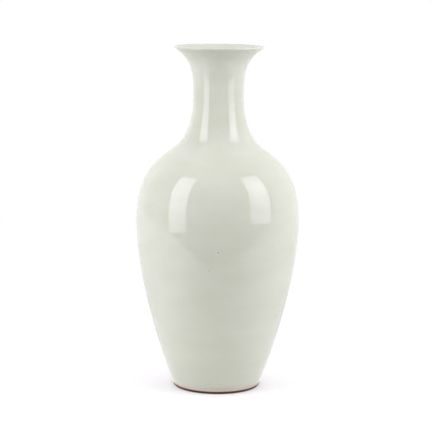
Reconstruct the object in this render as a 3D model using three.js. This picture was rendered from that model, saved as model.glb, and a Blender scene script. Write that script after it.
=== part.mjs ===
// A celadon baluster vase with a trumpet mouth: thrown sections joined with slip, a floor slab
// set into the turned foot, and a celadon coat inside, outside and under the foot.
import * as THREE from "three";

// Driving sizes in millimetres, as measured on the glazed vase. Heights are above the foot.
const height = 420;
const footRadius = 52.7;
const bellyRadius = 100;
const bellyHeight = 206;
const shoulderRadius = 44.8;
const shoulderHeight = 305.6;
const waistRadius = 30.8;
const waistHeight = 362.9;
const mouthRadius = 55.1;

// How far the outline leans out for each millimetre of height.
const footLean = 0.37;
const shoulderLean = -0.71;
const mouthLean = 1.58;

// Fullness of each stretch of the outline, at its lower and upper end, as a share of its height.
const lowerFullness = [0.52, 0.15];
const upperFullness = [0.765, 0.21];
const neckFullness = [0.23, 0.47];
const flareFullness = [0.58, 0.21];

// Thickness of the clay wall at each place.
const footWall = 8;
const bellyWall = 5;
const shoulderWall = 4.6;
const waistWall = 4;
const lipWall = 1.6;

// Glaze coat, and the line above the foot where it ran down and stopped.
const glaze = 0.6;
const glazeLine = 6.2;

// Foot ring, ledge and floor slab.
const footRingWidth = 8;
const footRingChamfer = 1.2;
const recessDepth = 9;
const floorThickness = 8;
const floorCove = 9;
const recessCove = 2.5;

// Slip seams: each lies in a scarf that drops towards the inside, so the upper piece centres itself.
const slip = 0.8;
const bellyScarf = 3;
const neckScarf = 2.5;

// Hairline left between curved faces that touch.
const hairline = 0.05;

// Fineness of the facets.
const sides = 36;
const facetLength = 28;
const facetTurn = 0.22;
const lipFacets = 5;
const noseFacets = 2;
const coveFacets = 3;
const walkStep = 0.5;
const heightTolerance = 1e-6;

// A place on the outline: its radius and height, and the outline's direction going up.
function station(radius, level, lean) {
  return { place: new THREE.Vector2(radius, level), rise: new THREE.Vector2(lean, 1) };
}

// The direction from the outside into the wall.
function inward(rise) {
  return new THREE.Vector2(-rise.y, rise.x).normalize();
}

// A place on the glazed outline moved through the glaze onto the clay.
function underGlaze({ place, rise }) {
  return { place: place.clone().addScaledVector(inward(rise), glaze), rise };
}

// The lip is round: its centre lies half a glazed wall below and inside the mouth's edge.
const mouthRise = new THREE.Vector2(mouthLean, 1);
const lipCentre = new THREE.Vector2(mouthRadius, height).subScalar(lipWall / 2 + glaze);
const lip = {
  place: lipCentre.clone().addScaledVector(inward(mouthRise), -lipWall / 2),
  rise: mouthRise,
};

// One smooth stretch of the clay's outer face between two places.
function stretch(from, to, [lower, upper]) {
  const rise = to.place.y - from.place.y;
  return new THREE.CubicBezierCurve(
    from.place,
    from.place.clone().addScaledVector(from.rise, lower * rise),
    to.place.clone().addScaledVector(to.rise, -upper * rise),
    to.place,
  );
}

const foot = station(footRadius, 0, footLean);
const belly = underGlaze(station(bellyRadius, bellyHeight, 0));
const shoulder = underGlaze(station(shoulderRadius, shoulderHeight, shoulderLean));
const waist = underGlaze(station(waistRadius, waistHeight, 0));
const stretches = [
  stretch(foot, belly, lowerFullness),
  stretch(belly, shoulder, upperFullness),
  stretch(shoulder, waist, neckFullness),
  stretch(waist, lip, flareFullness),
];
const walls = [footWall, bellyWall, shoulderWall, waistWall, lipWall];

// Distances along the outline from the foot to each place.
const marks = stretches.reduce((ends, curve) => [...ends, ends.at(-1) + curve.getLength()], [0]);
const [, bellyMark, shoulderMark, , lipMark] = marks;

// The stretch that holds a distance along the outline, and the share of it.
function locate(distance) {
  const index = Math.min(stretches.length - 1, marks.findLastIndex((mark) => mark <= distance));
  const share = (distance - marks[index]) / (marks[index + 1] - marks[index]);
  return { index, share: THREE.MathUtils.clamp(share, 0, 1) };
}

// A point at a distance along the outline, at a depth below the clay's outer face.
function onWall(distance, depth) {
  const { index, share } = locate(distance);
  const curve = stretches[index];
  return curve.getPointAt(share).addScaledVector(inward(curve.getTangentAt(share)), depth);
}

function wallAt(distance) {
  const { index, share } = locate(distance);
  return THREE.MathUtils.lerp(walls[index], walls[index + 1], share);
}

const outside = (distance) => onWall(distance, 0);
const inside = (distance) => onWall(distance, wallAt(distance));
const outsideGlaze = (distance) => onWall(distance, -glaze);
const insideGlaze = (distance) => onWall(distance, wallAt(distance) + glaze);
const glazeBack = (distance) => onWall(distance, -hairline);
const insideGlazeBack = (distance) => onWall(distance, wallAt(distance) + hairline);

// The distance along the outline at which a face reaches a height.
function distanceAtHeight(face, level) {
  let low = 0;
  let high = bellyMark;
  while (high - low > heightTolerance) {
    const middle = (low + high) / 2;
    if (face(middle).y < level) low = middle;
    else high = middle;
  }
  return low;
}

// Stops from one distance to another: a new facet begins where the outline has turned or run enough.
function stops(from, to) {
  const turnAt = (distance) => {
    const { index, share } = locate(distance);
    return stretches[index].getTangentAt(share).angle();
  };
  const list = [from];
  let effort = 0;
  let turn = turnAt(from);
  const walk = [];
  for (let distance = from + walkStep; distance < to; distance += walkStep) {
    const next = turnAt(distance);
    effort += Math.max(walkStep / facetLength, Math.abs(next - turn) / facetTurn);
    turn = next;
    walk.push([distance, effort]);
  }
  const facets = Math.max(1, Math.ceil(effort));
  for (let facet = 1; facet < facets; facet++)
    list.push(walk.find(([, spent]) => spent >= (effort * facet) / facets)[0]);
  list.push(to);
  return list;
}

// Stops on the outer and inner faces. The outer and inner edges of a scarf lie at different
// distances, and a seam of slip fills the gap between the pieces.
const floorLevel = recessDepth + slip + floorThickness;
const chamferMark = distanceAtHeight(outside, footRingChamfer);
const glazeMark = distanceAtHeight(outside, glazeLine);
const floorMark = distanceAtHeight(inside, floorLevel);
const coveMark = distanceAtHeight(inside, floorLevel + floorCove);
const half = slip / 2;
const outerStops = {
  lower: stops(glazeMark, bellyMark - half),
  upper: stops(bellyMark + half, shoulderMark - half),
  neck: stops(shoulderMark + half, lipMark),
};
const innerStops = {
  lower: stops(coveMark, bellyMark - bellyScarf - half),
  upper: stops(bellyMark - bellyScarf + half, shoulderMark - neckScarf - half),
  neck: stops(shoulderMark - neckScarf + half, lipMark),
};
const allOuterStops = Object.values(outerStops).flat();
const allInnerStops = Object.values(innerStops).flat();

// An arc of the lip from the outside over the top to the inside.
function lipArc(radius) {
  const start = inward(mouthRise).negate().angle();
  return Array.from({ length: lipFacets - 1 }, (_, step) => {
    const angle = start + (Math.PI * (step + 1)) / lipFacets;
    return new THREE.Vector2(Math.cos(angle), Math.sin(angle)).multiplyScalar(radius).add(lipCentre);
  });
}

// A cove from one point to another, tangent to the lines through their shared corner.
function cove(from, corner, to) {
  return new THREE.QuadraticBezierCurve(from, corner, to).getPoints(coveFacets);
}

const point = (radius, level) => new THREE.Vector2(radius, level);

// Foot: the seat of the floor slab is as wide as the inside is at floor level.
const seatRadius = inside(floorMark).x;
const slabRadius = seatRadius - slip;
const slabUnderside = recessDepth + slip;
const ringInnerRadius = footRadius - footRingWidth;
const recessGlazeLine = recessDepth - recessCove - glaze;

const clay = new THREE.MeshStandardMaterial({ color: 0xcdbda8, roughness: 0.85, metalness: 0 });
const slipClay = new THREE.MeshStandardMaterial({ color: 0xd8cfc0, roughness: 0.9, metalness: 0 });
const celadon = new THREE.MeshStandardMaterial({ color: 0xccd0c0, roughness: 0.12, metalness: 0 });

// A piece of revolution about the vase's axis, from its section of radius and height.
function turned(name, section, material) {
  const mesh = new THREE.Mesh(new THREE.LatheGeometry(section, sides).rotateX(Math.PI / 2), material.clone());
  mesh.name = name;
  return mesh;
}

// A closed ring section: the outer face going up, then the inner face coming down.
function ring(name, outerFace, innerFace, material) {
  return turned(name, [...outerFace, ...innerFace.reverse(), outerFace[0]], material);
}

function lowerBody() {
  const outerFace = [
    point(footRadius - footRingChamfer, 0),
    outside(chamferMark),
    ...outerStops.lower.map(outside),
  ];
  const innerFace = [
    point(ringInnerRadius + footRingChamfer, 0),
    point(ringInnerRadius, footRingChamfer),
    point(ringInnerRadius, recessDepth),
    point(seatRadius, recessDepth),
    inside(floorMark),
    ...innerStops.lower.map(inside),
  ];
  return ring("lower_body", outerFace, innerFace, clay);
}

function upperBody() {
  return ring("upper_body", outerStops.upper.map(outside), innerStops.upper.map(inside), clay);
}

function neckSection() {
  const outerFace = [...outerStops.neck.map(outside), ...lipArc(lipWall / 2)];
  return ring("neck_section", outerFace, innerStops.neck.map(inside), clay);
}

// The slip between two sections, a hairline clear of both.
function lute(name, outerMark, innerMark) {
  const edge = half - hairline;
  const outerFace = [outside(outerMark - edge), outside(outerMark + edge)];
  const innerFace = [inside(innerMark - edge), inside(innerMark + edge)];
  return ring(name, outerFace, innerFace, slipClay);
}

function baseDisc() {
  const section = [
    point(0, slabUnderside),
    point(slabRadius - hairline, slabUnderside),
    point(slabRadius - hairline, floorLevel),
    point(0, floorLevel),
  ];
  return turned("base_disc", section, clay);
}

// The slip under and round the floor slab, worked up into a cove in the corner above it.
function baseLute() {
  const coveFoot = point(seatRadius - floorCove, floorLevel);
  const corner = point(seatRadius - hairline, floorLevel);
  const coveTop = insideGlazeBack(coveMark);
  const outerFace = [
    point(ringInnerRadius, recessDepth),
    point(seatRadius - hairline, recessDepth),
    insideGlazeBack(floorMark),
  ];
  const innerFace = [
    point(ringInnerRadius, slabUnderside),
    point(slabRadius, slabUnderside),
    point(slabRadius, floorLevel),
    ...cove(coveFoot, corner, coveTop),
  ];
  return ring("base_lute", outerFace, innerFace, slipClay);
}

// The coat outside and over the lip. Its lower edge is rounded by a quarter circle.
function outerGlaze() {
  const nose = Array.from({ length: noseFacets }, (_, step) => {
    const angle = ((Math.PI / 2) * (step + 1)) / noseFacets;
    return onWall(glazeMark + glaze * (1 - Math.cos(angle)), -glaze * Math.sin(angle));
  });
  const face = [
    ...nose,
    ...allOuterStops.slice(1).map(outsideGlaze),
    ...lipArc(lipWall / 2 + glaze),
    insideGlaze(lipMark),
  ];
  const back = [
    ...allOuterStops.map(glazeBack),
    ...lipArc(lipWall / 2 + hairline),
    insideGlazeBack(lipMark),
  ];
  return ring("outer_glaze", face, back, celadon);
}

// The coat inside, from just below the lip down to the middle of the floor.
function innerGlaze() {
  const mouthMark = lipMark - hairline;
  const marks = [...allInnerStops.slice(0, -1), mouthMark];
  const coveBack = cove(
    point(seatRadius - floorCove, floorLevel),
    point(seatRadius - hairline, floorLevel),
    insideGlazeBack(coveMark),
  );
  const coveFace = cove(
    point(seatRadius - floorCove, floorLevel + glaze),
    point(seatRadius - glaze, floorLevel + glaze),
    insideGlaze(coveMark),
  );
  const back = [point(0, floorLevel), ...coveBack, ...marks.slice(1).map(insideGlazeBack)];
  const face = [point(0, floorLevel + glaze), ...coveFace, ...marks.slice(1).map(insideGlaze)];
  return turned("inner_glaze", [...back, ...face.reverse()], celadon);
}

// The coat in the recess: over the underside of the slab and down into the ring's inner corner.
function footGlaze() {
  const wall = ringInnerRadius - hairline;
  const face = [
    point(0, slabUnderside - glaze),
    ...cove(
      point(wall - glaze - recessCove, slabUnderside - glaze),
      point(wall - glaze, slabUnderside - glaze),
      point(wall - glaze, recessGlazeLine),
    ),
  ];
  const back = [point(wall, recessGlazeLine), point(wall, slabUnderside), point(0, slabUnderside)];
  return turned("foot_glaze", [...face, ...back], celadon);
}

const vase = new THREE.Group();
vase.add(
  lowerBody(),
  upperBody(),
  neckSection(),
  baseDisc(),
  baseLute(),
  lute("belly_lute", bellyMark, bellyMark - bellyScarf),
  lute("neck_lute", shoulderMark, shoulderMark - neckScarf),
  outerGlaze(),
  innerGlaze(),
  footGlaze(),
);

export default vase;
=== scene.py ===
"""A celadon baluster vase with a trumpet mouth: thick sea-green glaze over wheel-thrown stoneware."""
import math

import bmesh
import bpy
import numpy as np
from mathutils import Matrix, Vector


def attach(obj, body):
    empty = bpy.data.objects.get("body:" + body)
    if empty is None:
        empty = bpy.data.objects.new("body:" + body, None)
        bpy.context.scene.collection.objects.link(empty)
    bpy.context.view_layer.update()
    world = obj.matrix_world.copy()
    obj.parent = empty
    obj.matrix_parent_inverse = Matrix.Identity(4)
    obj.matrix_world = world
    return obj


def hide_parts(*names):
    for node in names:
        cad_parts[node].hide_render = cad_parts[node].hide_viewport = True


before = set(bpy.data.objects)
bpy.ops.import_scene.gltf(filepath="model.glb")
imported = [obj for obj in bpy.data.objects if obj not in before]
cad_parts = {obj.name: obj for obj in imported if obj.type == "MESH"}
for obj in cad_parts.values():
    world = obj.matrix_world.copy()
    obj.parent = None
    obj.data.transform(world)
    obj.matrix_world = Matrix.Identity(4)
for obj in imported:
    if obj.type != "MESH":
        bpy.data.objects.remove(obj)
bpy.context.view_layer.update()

MM = 0.001

# The outline that the pieces follow, in millimetres: radius, height and outward lean of the glazed
# vase at the foot, belly, shoulder, waist and mouth, and the fullness of the stretches between.
HEIGHT = 420.0
FOOT = (52.7, 0.0, 0.37)
BELLY = (100.0, 206.0, 0.0)
SHOULDER = (44.8, 305.6, -0.71)
WAIST = (30.8, 362.9, 0.0)
MOUTH_RADIUS = 55.1
MOUTH_LEAN = 1.58
FULLNESS = ((0.52, 0.15), (0.765, 0.21), (0.23, 0.47), (0.58, 0.21))
WALLS = (8.0, 5.0, 4.6, 4.0, 1.6)

# The coats of glaze, in millimetres. The outer one ends at the glaze line in a rounded edge, and thins
# towards it over the height of its taper to a share of its thickness.
GLAZE = 0.6
HAIRLINE = 0.05
GLAZE_LINE = 6.2
EDGE_TAPER = 7.0
EDGE_SHARE = 0.5
EDGE_ROUNDING = 1.0

# The foot and the floor, in millimetres. The lower body ends below the belly by its scarf, outside and
# inside, and follows the outline from above the ring's worn tip.
RING_WIDTH = 8.0
RING_ROUNDING = 1.2
RING_TIP = 3 * RING_ROUNDING
RECESS_DEPTH = 9.0
RECESS_COVE = 2.5
SLIP = 0.8
FLOOR_LEVEL = 17.8
FLOOR_COVE = 9.0
WASH_HEIGHT = 3.4
BELLY_SCARF = (1.0, 4.0)

# Throwing: finger ridges left by the wheel, as amplitude, spacing and phase, all in millimetres apart
# from the phase. They climb as they go round, come in above the foot, and fade below the belly, where
# a rib smoothed the wall and left a share of them.
RIDGES = ((0.09, 30.0, 5.03), (0.03, 14.5, 2.1), (0.015, 9.3, 4.0))
RIDGE_CLIMB = 4.0
RIDGES_START = (6.0, 40.0)
RIDGES_END = (140.0, 200.0)
RIDGES_LEFT = 0.06

# The coat's lower edge wanders up and down, as height, waves round the foot and phase. The wandering
# fades out over a height above the glaze line.
EDGE_WAVES = ((0.45, 2, 0.4), (0.3, 3, 2.0), (0.2, 7, 1.1), (0.12, 13, 5.0))
EDGE_FADE = 30.0

# Fineness of the turned meshes.
SIDES = 224
STEPS = (70, 60, 36, 60)
LIP_STEPS = 16
COVE_STEPS = 10
EDGE_STEPS = 18
FLOOR_STEPS = 12
RECESS_STEPS = 10
MERGE_DISTANCE = 1e-7


def inward(lean):
    """The direction from the outside into the wall, where the outline leans out by this much."""
    direction = np.array([-1.0, lean])
    return direction / np.linalg.norm(direction)


def under_glaze(station):
    """A place on the glazed outline, moved in to the clay under the coat."""
    radius, height, lean = station
    place = np.array([radius, height]) + inward(lean) * GLAZE
    return (*place, lean)


LIP_CENTRE = np.array([MOUTH_RADIUS, HEIGHT]) - (WALLS[-1] / 2 + GLAZE)
LIP = (*(LIP_CENTRE - inward(MOUTH_LEAN) * WALLS[-1] / 2), MOUTH_LEAN)


def clay_outline():
    """The clay's outer face from the foot to the lip: places, inward directions and wall thickness."""
    stations = [FOOT, *(under_glaze(s) for s in (BELLY, SHOULDER, WAIST)), LIP]
    stretches = zip(stations, stations[1:], FULLNESS, STEPS, zip(WALLS, WALLS[1:]))
    places, directions, walls = [], [], []
    for start, end, (low, high), count, wall in stretches:
        rise = end[1] - start[1]
        a = np.array(start[:2])
        b = a + np.array([start[2], 1.0]) * low * rise
        d = np.array(end[:2])
        c = d - np.array([end[2], 1.0]) * high * rise
        t = np.linspace(0, 1, count + 1)[:, None]
        place = (1 - t) ** 3 * a + 3 * (1 - t) ** 2 * t * b + 3 * (1 - t) * t**2 * c + t**3 * d
        along = (1 - t) ** 2 * (b - a) + 2 * (1 - t) * t * (c - b) + t**2 * (d - c)
        along /= np.linalg.norm(along, axis=1, keepdims=True)
        # A stretch leaves out its first place where the one before it ends there.
        keep = slice(1 if places else 0, None)
        places.append(place[keep])
        directions.append(np.stack([-along[:, 1], along[:, 0]], 1)[keep])
        walls.append((wall[0] + (wall[1] - wall[0]) * t[:, 0])[keep])
    return np.concatenate(places), np.concatenate(directions), np.concatenate(walls)


PLACES, INWARD, WALL = clay_outline()


def smooth(low, high, value):
    """0 up to the low value, 1 from the high one, and an even swing between."""
    t = np.clip((value - low) / (high - low), 0, 1)
    return t * t * (3 - 2 * t)


def lip_arc(radius):
    """The round of the lip from the outside over the top to the inside."""
    out = -inward(MOUTH_LEAN)
    start = math.atan2(out[1], out[0])
    angles = start + np.pi * np.linspace(0, 1, LIP_STEPS + 1)[1:-1]
    return LIP_CENTRE + radius * np.stack([np.cos(angles), np.sin(angles)], 1)


def cove(start, corner, end):
    """A curve from the start to the end that bends towards the corner."""
    t = np.linspace(0, 1, COVE_STEPS + 1)[:, None]
    start, corner, end = map(np.array, (start, corner, end))
    return (1 - t) ** 2 * start + 2 * (1 - t) * t * corner + t**2 * end


def round_corner(corner, before, after, size):
    """A rounded corner of a section, from the side towards `before` to the side towards `after`."""
    corner, before, after = map(np.array, (corner, before, after))
    start = corner + (before - corner) / np.linalg.norm(before - corner) * size
    end = corner + (after - corner) / np.linalg.norm(after - corner) * size
    return cove(start, corner, end)


def level_face(radius, level, steps):
    """A level face from the axis out to just short of a radius."""
    return np.stack([np.linspace(0, radius, steps)[:-1], np.full(steps - 1, level)], 1)


def turned(name, section, relief=None):
    """A turned piece from its closed section in millimetres. Relief moves the section round the axis:
    it takes the section and an angle and gives the section there."""
    mesh = bmesh.new()
    rings = []
    for side in range(SIDES):
        angle = 2 * math.pi * side / SIDES
        here = (relief(section, angle) if relief else section) * MM
        rings.append([
            mesh.verts.new((radius * math.sin(angle), -radius * math.cos(angle), level))
            for radius, level in here
        ])
    count = len(section)
    for side in range(SIDES):
        near, far = rings[side], rings[(side + 1) % SIDES]
        for i in range(count):
            j = (i + 1) % count
            # The line down the axis sweeps no face.
            if section[i, 0] or section[j, 0]:
                mesh.faces.new((near[i], far[i], far[j], near[j]))
    bmesh.ops.remove_doubles(mesh, verts=mesh.verts, dist=MERGE_DISTANCE)
    bmesh.ops.recalc_face_normals(mesh, faces=mesh.faces)
    data = bpy.data.meshes.new(name)
    mesh.to_mesh(data)
    mesh.free()
    data.polygons.foreach_set("use_smooth", [True] * len(data.polygons))
    piece = bpy.data.objects.new(name, data)
    bpy.context.scene.collection.objects.link(piece)
    return piece


def ridge_waves(level):
    return sum(a * np.sin(2 * math.pi * level / spacing + phase) for a, spacing, phase in RIDGES)


def ridge_height(level, angle):
    """The finger ridges' height. They climb round the back and are level at the front, where each turn
    closes."""
    climbing = ridge_waves(level - RIDGE_CLIMB * angle / (2 * math.pi))
    closing = 0.5 + 0.5 * math.cos(angle)
    return closing * ridge_waves(level) + (1 - closing) * climbing


def coat_thickness(run):
    """The outer coat's thickness by the height above its edge: a rounded nose, then thin, then full."""
    taper = EDGE_SHARE + (1 - EDGE_SHARE) * smooth(0, EDGE_TAPER, run)
    nose = np.sqrt(1 - (1 - np.clip(run / EDGE_ROUNDING, 0, 1)) ** 2)
    return HAIRLINE + (GLAZE * taper - HAIRLINE) * nose


def outer_coat():
    """The coat outside and over the lip, with finger ridges under it and a wandering lower edge."""
    edge_levels = GLAZE_LINE + EDGE_TAPER * np.linspace(0, 1, EDGE_STEPS) ** 2
    edge = np.stack([np.interp(edge_levels, PLACES[:, 1], PLACES[:, 0]), edge_levels], 1)
    above = PLACES[:, 1] > edge_levels[-1]
    places = np.concatenate([edge, PLACES[above]])
    inwards = np.concatenate([np.repeat([inward(FOOT[2])], EDGE_STEPS, 0), INWARD[above]])
    thickness = coat_thickness(places[:, 1] - GLAZE_LINE)
    face = np.concatenate([places - inwards * thickness[:, None], lip_arc(WALLS[-1] / 2 + GLAZE)])
    back = np.concatenate([places - inwards * HAIRLINE, lip_arc(WALLS[-1] / 2 + HAIRLINE)])
    tips = [PLACES[-1] + INWARD[-1] * (WALL[-1] + depth) for depth in (GLAZE, HAIRLINE)]
    section = np.concatenate([face, tips, back[::-1]])
    outward = np.concatenate([-inwards, np.zeros((len(section) - len(inwards), 2))])
    ribbed = (1 - RIDGES_LEFT) * smooth(*RIDGES_END, section[:, 1])
    fade = smooth(*RIDGES_START, section[:, 1]) * (1 - ribbed)

    def relief(section, angle):
        wave = sum(height * math.sin(count * angle + phase) for height, count, phase in EDGE_WAVES)
        slide = wave * (1 - smooth(GLAZE_LINE, GLAZE_LINE + EDGE_FADE, section[:, 1]))
        moved = section + slide[:, None] * np.array([FOOT[2], 1.0])
        return moved + outward * (fade * ridge_height(section[:, 1], angle))[:, None]

    return turned("outer_coat", section, relief)


def inner_face(depth):
    """The inside from the middle of the floor to the lip, at a depth above the clay."""
    seat = PLACES + INWARD * (WALL + depth)[:, None]
    wall = seat[seat[:, 1] > FLOOR_LEVEL + FLOOR_COVE]
    level = FLOOR_LEVEL + depth
    corner = (np.interp(FLOOR_LEVEL, seat[:, 1], seat[:, 0]), level)
    start = (corner[0] - FLOOR_COVE, level)
    floor = level_face(start[0], level, FLOOR_STEPS)
    return np.concatenate([floor, cove(start, corner, wall[0]), wall[1:]])


def inner_coat():
    """The coat inside, from just below the lip to the middle of the floor."""
    section = np.concatenate([inner_face(HAIRLINE), inner_face(GLAZE)[::-1]])
    return turned("inner_coat", section)


def foot_body():
    """The lower body with its turned foot: bare clay below the glaze, a worn tip and a ledge."""
    ring_inner = FOOT[0] - RING_WIDTH
    top_outside, top_inside = (BELLY[1] - scarf for scarf in BELLY_SCARF)
    outer = PLACES[(PLACES[:, 1] > RING_TIP) & (PLACES[:, 1] <= top_outside)]
    inside = PLACES + INWARD * WALL[:, None]
    seat = float(np.interp(FLOOR_LEVEL, inside[:, 1], inside[:, 0]))
    inner = inside[(inside[:, 1] > FLOOR_LEVEL) & (inside[:, 1] < top_inside)]
    section = np.concatenate([
        round_corner((ring_inner, 0), (ring_inner, RECESS_DEPTH), FOOT[:2], RING_ROUNDING),
        round_corner(FOOT[:2], (ring_inner, 0), outer[0], RING_ROUNDING),
        outer,
        inner[::-1],
        [(seat, FLOOR_LEVEL), (seat, RECESS_DEPTH), (ring_inner, RECESS_DEPTH)],
    ])
    return turned("foot_body", section)


def recess_coat():
    """The coat in the recess under the floor, down into the ring's inner corner."""
    wall = FOOT[0] - RING_WIDTH - HAIRLINE
    top = RECESS_DEPTH + SLIP
    edge = RECESS_DEPTH - RECESS_COVE - GLAZE
    side, under = wall - GLAZE, top - GLAZE
    flat = level_face(side - RECESS_COVE, under, RECESS_STEPS)
    face = cove((side - RECESS_COVE, under), (side, under), (side, edge))
    section = np.concatenate([flat, face, [(wall, edge - GLAZE / 2), (wall, top), (0, top)]])
    return turned("recess_coat", section)


# Colours. Each pair is the darker and the paler end of a finish, at these shares of its noise.
GLAZE_GREENS = ("#C1C4B4", "#C7CABB")
CLAY_BUFFS = ("#C8B8A8", "#D4C6B7")
SLIP_BUFFS = ("#D4C8B8", "#E0D6C8")
WASH_BROWNS = ("#3A2118", "#58392A")
NOISE_ENDS = (0.3, 0.7)
WHITE = "#FFFFFF"

# Noise scales, in cells a metre: clouds in the coat 80 mm across, motes in it 1.5 mm and its orange
# peel 5 mm, the clay's grit 1.1 mm, the slip's grain 2.5 mm and the brush marks of the wash 17 mm.
CLOUD_SCALE = 12.5
MOTE_SCALE = 650.0
PEEL_SCALE = 190.0
GRIT_SCALE = 900.0
SLIP_SCALE = 400.0
BRUSH_SCALE = 60.0
# The clouds are flatter than wide by this factor.
CLOUD_FLATNESS = 3.2
# The wash's upper edge sways and blurs up and down by these, in millimetres.
WASH_SWAY = 0.25
WASH_BLUR = 0.3

# Pinholes, where a bubble burst in the fire: angle from the front towards +X in degrees, height and
# radius in millimetres. Each is a dark pit in a ring of thinner, paler glaze, whose edges are given in
# pinhole radii.
PINHOLES = (
    (0.6, 183.5, 1.2), (-5.8, 161.1, 0.75), (12.5, 82.1, 0.5), (-15.0, 262.9, 0.5), (-14.3, 255.2, 0.45),
    (8.5, 238.2, 0.45), (78.0, 131.0, 0.6), (121.0, 226.0, 0.8), (164.0, 64.0, 0.5), (207.0, 187.0, 0.6),
    (251.0, 109.0, 0.7), (288.0, 243.0, 0.5),
)
PIT_EDGE = (1.3, 0.6)
PIT_DARKNESS = 0.38
HALO_EDGE = (3.2, 1.8)
HALO_LIGHTNESS = 0.04
CLEAR_OF_PINHOLES = 10.0

# The coat's lower edge: heights in millimetres between which it thins to cream and between which it
# greens in its sags, their count, and the part of each wave round the foot in which a sag comes in.
THIN_CREAM = "#CBC4B6"
THIN_BAND = (11.0, 6.5)
POOLED_GREEN = "#B8C2AF"
POOL_BAND = (10.5, 7.0)
SAGS = 3.0
SAG_WAVE = (-0.1, -0.9)

# Settings that several nodes share.
SMOOTHLY = {"interpolation_type": "SMOOTHSTEP"}
COLOURS = {"data_type": "RGBA"}
TINT = {"data_type": "RGBA", "blend_type": "MULTIPLY"}


def linear(hex_colour):
    """An sRGB hex colour as linear red, green, blue and alpha."""
    parts = [int(hex_colour[i : i + 2], 16) / 255 for i in (1, 3, 5)]
    return (*(c / 12.92 if c <= 0.04045 else ((c + 0.055) / 1.055) ** 2.4 for c in parts), 1.0)


def noise_stops(pair):
    """The stops of a ramp that turns a noise into the two colours of a finish."""
    return [(place, linear(colour)) for place, colour in zip(NOISE_ENDS, pair)]


def add_node(tree, kind, settings=None, stops=(), **inputs):
    """Adds a node with its settings, and the stops of its ramp as places and colours. An input is named
    by its name, or by _ and its number. It is a value, or an output or a node to link."""
    node = tree.nodes.new("ShaderNode" + kind)
    for name, value in (settings or {}).items():
        setattr(node, name, value)
    while stops and len(node.color_ramp.elements) < len(stops):
        node.color_ramp.elements.new(0.5)
    for number, (place, colour) in enumerate(stops):
        node.color_ramp.elements[number].position = place
        node.color_ramp.elements[number].color = colour
    for name, value in inputs.items():
        socket = node.inputs[int(name[1:])] if name[0] == "_" else node.inputs[name.replace("_", " ")]
        if isinstance(value, bpy.types.Node):
            value = value.outputs[0]
        if isinstance(value, bpy.types.NodeSocket):
            tree.links.new(value, socket)
        else:
            socket.default_value = value
    return node


def new_material(name):
    """An empty material and its node tree."""
    material = bpy.data.materials.new(name)
    material.use_nodes = True
    material.node_tree.nodes.clear()
    return material, material.node_tree


def finish_material(tree, shader):
    add_node(tree, "OutputMaterial", Surface=shader)


def pinhole_tone(tree, place):
    """How light the glaze is at and round its pinholes: 1 away from them."""
    nearest = CLEAR_OF_PINHOLES
    for angle, level, radius in PINHOLES:
        turn = math.radians(angle)
        out = float(np.interp(level, PLACES[:, 1], PLACES[:, 0])) + GLAZE
        middle = (out * MM * math.sin(turn), -out * MM * math.cos(turn), level * MM)
        way = add_node(tree, "VectorMath", {"operation": "DISTANCE"}, _0=place, _1=middle)
        radii = add_node(tree, "Math", {"operation": "DIVIDE"}, _0=way.outputs["Value"], _1=radius * MM)
        nearest = add_node(tree, "Math", {"operation": "MINIMUM"}, _0=radii, _1=nearest)
    pit = add_node(
        tree, "MapRange", SMOOTHLY, Value=nearest,
        From_Min=PIT_EDGE[0], From_Max=PIT_EDGE[1], To_Max=-PIT_DARKNESS,
    )
    halo = add_node(
        tree, "MapRange", SMOOTHLY, Value=nearest,
        From_Min=HALO_EDGE[0], From_Max=HALO_EDGE[1], To_Min=1.0, To_Max=1.0 + HALO_LIGHTNESS,
    )
    return add_node(tree, "Math", {"operation": "ADD"}, _0=halo, _1=pit)


def foot_edge(tree, place, colour):
    """The coat's colour down to its lower edge. It thins out there and the buff clay shows through it as
    cream, but in three broad sags, one of them at the front, it ran thicker and greens."""
    axes = add_node(tree, "SeparateXYZ", Vector=place).outputs
    thin = add_node(
        tree, "MapRange", SMOOTHLY, Value=axes["Z"], From_Min=THIN_BAND[0] * MM, From_Max=THIN_BAND[1] * MM
    )
    creamy = add_node(tree, "Mix", COLOURS, _0=thin, _6=colour, _7=linear(THIN_CREAM)).outputs[2]
    turn = add_node(tree, "Math", {"operation": "ARCTAN2"}, _0=axes["X"], _1=axes["Y"])
    turns = add_node(tree, "Math", {"operation": "MULTIPLY"}, _0=turn, _1=SAGS)
    waves = add_node(tree, "Math", {"operation": "COSINE"}, _0=turns)
    sags = add_node(tree, "MapRange", SMOOTHLY, Value=waves, From_Min=SAG_WAVE[0], From_Max=SAG_WAVE[1])
    low = add_node(
        tree, "MapRange", SMOOTHLY, Value=axes["Z"], From_Min=POOL_BAND[0] * MM, From_Max=POOL_BAND[1] * MM
    )
    pooled = add_node(tree, "Math", {"operation": "MULTIPLY"}, _0=sags, _1=low)
    return add_node(tree, "Mix", COLOURS, _0=pooled, _6=creamy, _7=linear(POOLED_GREEN)).outputs[2]


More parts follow.
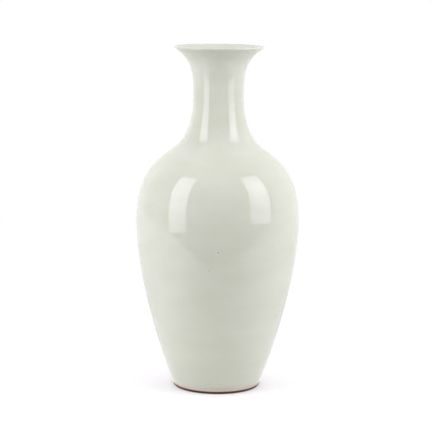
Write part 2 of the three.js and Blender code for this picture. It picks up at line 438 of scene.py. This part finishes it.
def celadon(name, thin_edges=False):
    """Celadon: a felspathic glaze coloured by a little iron, fired in a smoky kiln. It is a deep, soft
    gloss that clouds where it lies thicker, pales over edges and greens where it pools."""
    material, tree = new_material(name)
    place = add_node(tree, "TexCoord").outputs["Object"]
    # Clouds 80 mm across and 25 mm high, where the rings of the wheel hold more or less glaze.
    flattened = (1.0, 1.0, CLOUD_FLATNESS)
    flat = add_node(tree, "VectorMath", {"operation": "MULTIPLY"}, _0=place, _1=flattened)
    clouds = add_node(tree, "TexNoise", Vector=flat, Scale=CLOUD_SCALE, Detail=3.0, Roughness=0.55)
    body = add_node(tree, "ValToRGB", stops=noise_stops(GLAZE_GREENS), Fac=clouds)
    # Fine motes, drawn coarser than the real half-millimetre bubbles so that they show.
    motes = add_node(tree, "TexNoise", Vector=place, Scale=MOTE_SCALE, Detail=2.0, Roughness=0.6)
    speck = add_node(tree, "MapRange", Value=motes, From_Min=0.3, From_Max=0.75, To_Min=0.975, To_Max=1.02)
    tone = add_node(tree, "Math", {"operation": "MULTIPLY"}, _0=speck, _1=pinhole_tone(tree, place))
    colour = add_node(tree, "Mix", TINT, _0=1.0, _6=body, _7=tone).outputs[2]
    if thin_edges:
        colour = foot_edge(tree, place, colour)
    # The skin is not quite level: a faint orange peel.
    peel = add_node(tree, "TexNoise", Vector=place, Scale=PEEL_SCALE, Detail=1.0)
    bump = add_node(tree, "Bump", Strength=0.04, Distance=1.0 * MM, Height=peel)
    # The light goes a millimetre or two into the glassy coat and comes out again, most of it green.
    shader = add_node(
        tree, "BsdfPrincipled", Base_Color=colour, Roughness=0.02, IOR=1.5, Normal=bump,
        Subsurface_Weight=0.15, Subsurface_Radius=(0.9, 1.0, 0.7), Subsurface_Scale=2.0 * MM,
    )
    finish_material(tree, shader)
    return material


def stoneware(name, washed=False):
    """Stoneware fired buff where the kiln's smoke reached the bare clay: dry, matt and slightly sandy."""
    material, tree = new_material(name)
    place = add_node(tree, "TexCoord").outputs["Object"]
    grit = add_node(tree, "TexNoise", Vector=place, Scale=GRIT_SCALE, Detail=4.0, Roughness=0.7)
    colour = add_node(tree, "ValToRGB", stops=noise_stops(CLAY_BUFFS), Fac=grit)
    if washed:
        colour = iron_wash(tree, place, grit, colour)
    bump = add_node(tree, "Bump", Strength=0.35, Distance=0.4 * MM, Height=grit)
    shader = add_node(tree, "BsdfPrincipled", Base_Color=colour, Roughness=0.8, IOR=1.5, Normal=bump)
    finish_material(tree, shader)
    return material


def iron_wash(tree, place, grit, colour):
    """An iron wash brushed on the tip of the foot fires dark brown, with an unsteady upper edge."""
    level = add_node(tree, "SeparateXYZ", Vector=place).outputs["Z"]
    brush = add_node(tree, "TexNoise", Vector=place, Scale=BRUSH_SCALE, Detail=2.0)
    sway = add_node(tree, "MapRange", Value=brush, To_Min=-WASH_SWAY * MM, To_Max=WASH_SWAY * MM)
    edge = add_node(tree, "Math", {"operation": "ADD"}, _0=level, _1=sway)
    wash = add_node(
        tree, "MapRange", SMOOTHLY, Value=edge,
        From_Min=(WASH_HEIGHT + WASH_BLUR) * MM, From_Max=(WASH_HEIGHT - WASH_BLUR) * MM,
    )
    brown = add_node(tree, "ValToRGB", stops=noise_stops(WASH_BROWNS), Fac=grit)
    return add_node(tree, "Mix", COLOURS, _0=wash, _6=colour, _7=brown).outputs[2]


def fired_slip(name):
    """Slip: the body clay let down with water, fired paler and smoother than the thrown wall."""
    material, tree = new_material(name)
    place = add_node(tree, "TexCoord").outputs["Object"]
    grain = add_node(tree, "TexNoise", Vector=place, Scale=SLIP_SCALE, Detail=3.0)
    colour = add_node(tree, "ValToRGB", stops=noise_stops(SLIP_BUFFS), Fac=grain)
    shader = add_node(tree, "BsdfPrincipled", Base_Color=colour, Roughness=0.85, IOR=1.5)
    finish_material(tree, shader)
    return material


# Camera, in millimetres and degrees, found from the vase's outline in the photograph.
CAMERA_PLACE = (0.0, -1918.0, 514.0)
CAMERA_PITCH = 8.96
CAMERA_YAW = -0.06
CAMERA_ROLL = 0.48
CAMERA_LENS = 131.5
SENSOR = 36.0

# Daylight bulbs in the soft boxes, and their light off the walls of the room.
DAYLIGHT = "#F7F6FF"
ROOM_COLOUR = "#F9F5FF"
# Radiance of the room as it lights the vase, and of the white background.
ROOM_LIGHT = 1.3
BACKGROUND = 1.0

# The soft boxes: place in metres, azimuth and elevation of the back and roll in degrees, size in metres,
# radiance in and away from the hot spot, how far that spot reaches and how high it is above the middle.
LEFT_BOX = {
    "place": (-0.536, -0.348, 0.506), "facing": (-51.9, 15.0), "roll": 3.2, "size": (0.319, 0.854),
    "bright": 4.5, "rim": 2.0, "spread": 0.7, "rise": 0.085,
}
RIGHT_BOX = {
    "place": (0.546, -0.271, 0.559), "facing": (48.3, 12.9), "roll": -3.6, "size": (0.377, 0.795),
    "bright": 5.5, "rim": 2.6, "spread": 0.35, "rise": 0.04,
}

# The sides of the room, on a globe round a middle above the foot, in metres. Azimuths go from the
# camera to the right and elevations up, in degrees.
ROOM_REACH = 2.7
ROOM_MIDDLE = 0.25
ROOM_COLUMNS = 41
ROOM_ROWS = 29
# The dim side is behind the camera, with its radiance by elevation.
DIM_AZIMUTHS = (-75.6, 85.5)
DIM_ELEVATIONS = (-50, 90)
DIM_LIGHT = ((-20, 0.15), (0, 0.54), (30, 0.75), (60, 0.71), (90, 0.65))
# The dark corner is beyond the left soft box. It darkens from its far end to an azimuth.
CORNER_AZIMUTHS = (-140, -75.6)
CORNER_ELEVATIONS = (-8, 62)
CORNER_DARKEST = -110
CORNER_LIGHT = 0.38

# The floor: how far it goes to the sides and back, where it ends in front, and the distances from the
# vase between which it turns to the white of the background.
FLOOR_PAINT = "#E1E1DF"
FLOOR_SIZE = 3.0
FLOOR_FRONT = -0.485
FLOOR_NEAR = 0.35
FLOOR_FAR = 1.3
# Near the vase the camera sees this much glow over the lit paint, and the gloss sees the floor bright
# beside the vase, dimmer behind it, and in shade in front. The changes come between these depths, and
# between these distances from the middle of the shade.
FLOOR_GLOW = 0.15
SIDE_GLEAM = 1.35
BACK_GLEAM = 0.95
BACK_DEPTHS = (-0.1, 0.25)
SHADE_GLEAM = 0.6
SHADE_PLACE = (0.0, -0.47, 0.0)
SHADE_REACH = (0.15, 0.45)


def away(azimuth, elevation):
    """The direction from the vase at an azimuth from the camera to the right and an elevation."""
    side, climb = math.radians(azimuth), math.radians(elevation)
    return Vector((math.sin(side) * math.cos(climb), -math.cos(side) * math.cos(climb), math.sin(climb)))


def add_camera():
    """The camera at the photograph's angle, with its pitch down, its yaw and its roll."""
    pitch, yaw, roll = (math.radians(a) for a in (CAMERA_PITCH, CAMERA_YAW, CAMERA_ROLL))
    ahead = Vector((math.sin(yaw) * math.cos(pitch), math.cos(yaw) * math.cos(pitch), -math.sin(pitch)))
    right = Vector((math.cos(yaw), -math.sin(yaw), 0))
    up = right.cross(ahead)
    leaning_right = math.cos(roll) * right + math.sin(roll) * up
    leaning_up = math.cos(roll) * up - math.sin(roll) * right
    data = bpy.data.cameras.new("camera")
    data.lens = CAMERA_LENS
    data.sensor_width = SENSOR
    camera = bpy.data.objects.new("camera", data)
    turn = Matrix((leaning_right, leaning_up, -ahead)).transposed().to_4x4()
    camera.matrix_world = Matrix.Translation(Vector(CAMERA_PLACE) * MM) @ turn
    bpy.context.scene.collection.objects.link(camera)
    bpy.context.scene.camera = camera


def shown_ray(tree):
    """1 for a ray that shows the background: from the camera, or off gloss, or through glass."""
    path = add_node(tree, "LightPath").outputs
    camera, glossy, through = path["Is Camera Ray"], path["Is Glossy Ray"], path["Is Transmission Ray"]
    either = add_node(tree, "Math", {"operation": "MAXIMUM"}, _0=camera, _1=glossy)
    return add_node(tree, "Math", {"operation": "MAXIMUM"}, _0=either, _1=through)


def add_world():
    """The room's light on the vase, and the white that the camera and the gloss see in its place."""
    world = bpy.data.worlds.new("studio")
    world.use_nodes = True
    tree = world.node_tree
    tree.nodes.clear()
    room = add_node(tree, "Background", Color=linear(ROOM_COLOUR), Strength=ROOM_LIGHT)
    white = add_node(tree, "Background", Color=linear(WHITE), Strength=BACKGROUND)
    light = add_node(tree, "MixShader", _0=shown_ray(tree), _1=room, _2=white)
    add_node(tree, "OutputWorld", Surface=light)
    bpy.context.scene.world = world


def add_soft_box(name, place, facing, roll, size, bright, rim, spread, rise):
    """A tall soft box with a hot spot before its bulb."""
    data = bpy.data.lights.new(name, "AREA")
    data.shape = "RECTANGLE"
    data.size, data.size_y = size
    data.energy = bright * math.pi * size[0] * size[1]
    data.color = linear(DAYLIGHT)[:3]
    data.use_nodes = True
    tree = data.node_tree
    across = add_node(tree, "NewGeometry").outputs["Parametric"]
    bulb = (0.5, 0.5 + rise / size[1], 0)
    centred = add_node(tree, "VectorMath", {"operation": "SUBTRACT"}, _0=across, _1=bulb)
    metres = add_node(tree, "VectorMath", {"operation": "MULTIPLY"}, _0=centred, _1=(*size, 0))
    reach = add_node(tree, "VectorMath", {"operation": "LENGTH"}, _0=metres).outputs["Value"]
    glow = add_node(tree, "MapRange", SMOOTHLY, Value=reach, From_Max=spread, To_Min=1.0, To_Max=rim / bright)
    tree.links.new(glow.outputs["Result"], tree.nodes["Emission"].inputs["Strength"])
    lamp = bpy.data.objects.new(name, data)
    turn = away(*facing).to_track_quat("Z", "Y").to_matrix() @ Matrix.Rotation(math.radians(roll), 3, "Z")
    lamp.matrix_world = Matrix.Translation(place) @ turn.to_4x4()
    bpy.context.scene.collection.objects.link(lamp)


def staged(name, points, faces, material):
    """A part of the studio, which isn't part of the vase."""
    data = bpy.data.meshes.new(name)
    data.from_pydata(points, [], faces)
    data.materials.append(material)
    obj = bpy.data.objects.new(name, data)
    bpy.context.scene.collection.objects.link(obj)
    return obj


def mirrored_floor(tree, place):
    """The floor as the gloss mirrors it."""
    depth = add_node(tree, "SeparateXYZ", Vector=place).outputs["Y"]
    beyond = add_node(
        tree, "MapRange", SMOOTHLY, Value=depth,
        From_Min=BACK_DEPTHS[0], From_Max=BACK_DEPTHS[1], To_Min=SIDE_GLEAM, To_Max=BACK_GLEAM,
    )
    shade = add_node(tree, "VectorMath", {"operation": "DISTANCE"}, _0=place, _1=SHADE_PLACE).outputs["Value"]
    gleam = add_node(
        tree, "MapRange", SMOOTHLY, Value=shade,
        From_Min=SHADE_REACH[0], From_Max=SHADE_REACH[1], To_Min=SHADE_GLEAM, To_Max=beyond,
    )
    return add_node(tree, "Emission", Color=linear(WHITE), Strength=gleam)


def white_floor():
    """White paint that keeps the vase's shadow. Away from the vase it turns to the white of the
    background, so that no horizon shows."""
    material, tree = new_material("white_floor")
    place = add_node(tree, "TexCoord").outputs["Object"]
    # In front of the vase only the way sideways counts as distance, so that this part stays paint.
    sideways = (-FLOOR_SIZE, 0, 0)
    beside = add_node(tree, "VectorMath", {"operation": "MAXIMUM"}, _0=place, _1=sideways)
    reach = add_node(tree, "VectorMath", {"operation": "LENGTH"}, _0=beside).outputs["Value"]
    far = add_node(tree, "MapRange", SMOOTHLY, Value=reach, From_Min=FLOOR_NEAR, From_Max=FLOOR_FAR)
    shown = shown_ray(tree)
    white = add_node(tree, "Math", {"operation": "MULTIPLY"}, _0=shown, _1=far)
    camera_ray = add_node(tree, "LightPath").outputs["Is Camera Ray"]
    in_gloss = add_node(tree, "Math", {"operation": "SUBTRACT"}, _0=shown, _1=camera_ray)
    glow = add_node(tree, "Math", {"operation": "MULTIPLY"}, _0=camera_ray, _1=FLOOR_GLOW)
    paint = add_node(tree, "BsdfDiffuse", Color=linear(FLOOR_PAINT))
    glowing = add_node(tree, "Emission", Color=linear(WHITE), Strength=glow)
    lit = add_node(tree, "AddShader", _0=paint, _1=glowing)
    near = add_node(tree, "MixShader", _0=in_gloss, _1=lit, _2=mirrored_floor(tree, place))
    backdrop = add_node(tree, "Emission", Color=linear(WHITE), Strength=BACKGROUND)
    finish_material(tree, add_node(tree, "MixShader", _0=white, _1=near, _2=backdrop))
    return material


def add_floor():
    """A white floor that ends in front of the vase, as a studio table does."""
    front = [(-FLOOR_SIZE, FLOOR_FRONT, 0), (FLOOR_SIZE, FLOOR_FRONT, 0)]
    back = [(FLOOR_SIZE, FLOOR_SIZE, 0), (-FLOOR_SIZE, FLOOR_SIZE, 0)]
    staged("floor", front + back, [(0, 1, 2, 3)], white_floor())


def room_side(name, azimuths, elevations, material):
    """A side of the room, as a piece of a globe that the camera doesn't see."""
    points = [
        away(azimuth, elevation) * ROOM_REACH + Vector((0, 0, ROOM_MIDDLE))
        for elevation in np.linspace(*elevations, ROOM_ROWS)
        for azimuth in np.linspace(*azimuths, ROOM_COLUMNS)
    ]
    faces = []
    for row in range(ROOM_ROWS - 1):
        for column in range(ROOM_COLUMNS - 1):
            k = row * ROOM_COLUMNS + column
            faces.append((k, k + 1, k + ROOM_COLUMNS + 1, k + ROOM_COLUMNS))
    side = staged(name, points, faces, material)
    side.visible_camera = False
    return side


def add_dim_side():
    """The dim room on the camera's side, which the glaze reflects between the soft boxes."""
    material, tree = new_material("dim_wall")
    height = add_node(tree, "SeparateXYZ", Vector=add_node(tree, "TexCoord").outputs["Object"]).outputs["Z"]
    rise = add_node(
        tree, "MapRange", Value=height, From_Min=ROOM_MIDDLE - ROOM_REACH, From_Max=ROOM_MIDDLE + ROOM_REACH
    )
    levels = [
        (0.5 + 0.5 * math.sin(math.radians(elevation)), (level, level, level, 1))
        for elevation, level in DIM_LIGHT
    ]
    band = add_node(tree, "ValToRGB", stops=levels, Fac=rise)
    finish_material(tree, add_node(tree, "Emission", Color=band, Strength=1.0))
    room_side("dim_side", DIM_AZIMUTHS, DIM_ELEVATIONS, material)


def add_dark_corner():
    """The dark corner beyond the left soft box, which shades the glaze beside the box's reflection."""
    material, tree = new_material("dark_wall")
    axes = add_node(tree, "SeparateXYZ", Vector=add_node(tree, "TexCoord").outputs["Object"]).outputs
    # The arctangent counts from the back, so an azimuth on the left comes out as -180 less itself.
    turn = add_node(tree, "Math", {"operation": "ARCTAN2"}, _0=axes["X"], _1=axes["Y"])
    far_end, darkest = (math.radians(-180 - azimuth) for azimuth in (CORNER_AZIMUTHS[0], CORNER_DARKEST))
    light = add_node(
        tree, "MapRange", SMOOTHLY, Value=turn,
        From_Min=far_end, From_Max=darkest, To_Min=BACKGROUND, To_Max=CORNER_LIGHT,
    )
    finish_material(tree, add_node(tree, "Emission", Color=linear(WHITE), Strength=light))
    corner = room_side("dark_corner", CORNER_AZIMUTHS, CORNER_ELEVATIONS, material)
    corner.visible_diffuse = False


def dress():
    """Puts the finished pieces in the place of the shown nodes, and finishes the nodes inside."""
    coat = celadon("celadon_coat", thin_edges=True)
    inner = celadon("celadon_inside")
    bare = stoneware("bare_stoneware", washed=True)
    for piece, node, slot, material in (
        (outer_coat(), "outer_glaze", "celadon_glaze", coat),
        (inner_coat(), "inner_glaze", "celadon_glaze", inner),
        (recess_coat(), "foot_glaze", "celadon_glaze", inner),
        (foot_body(), "lower_body", "stoneware", bare),
    ):
        piece.data.materials.append(material)
        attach(piece, "root")
        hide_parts(node)
    clay = stoneware("thrown_stoneware")
    slip = fired_slip("fired_slip")
    hidden = {
        "upper_body": clay, "neck_section": clay, "base_disc": clay,
        "base_lute": slip, "belly_lute": slip, "neck_lute": slip,
    }
    for name, material in hidden.items():
        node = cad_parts[name]
        node.data.materials.clear()
        node.data.materials.append(material)


add_camera()
add_world()
add_floor()
add_dim_side()
add_dark_corner()
add_soft_box("left_box", **LEFT_BOX)
add_soft_box("right_box", **RIGHT_BOX)
dress()

view = bpy.context.scene.view_settings
view.view_transform = "Standard"
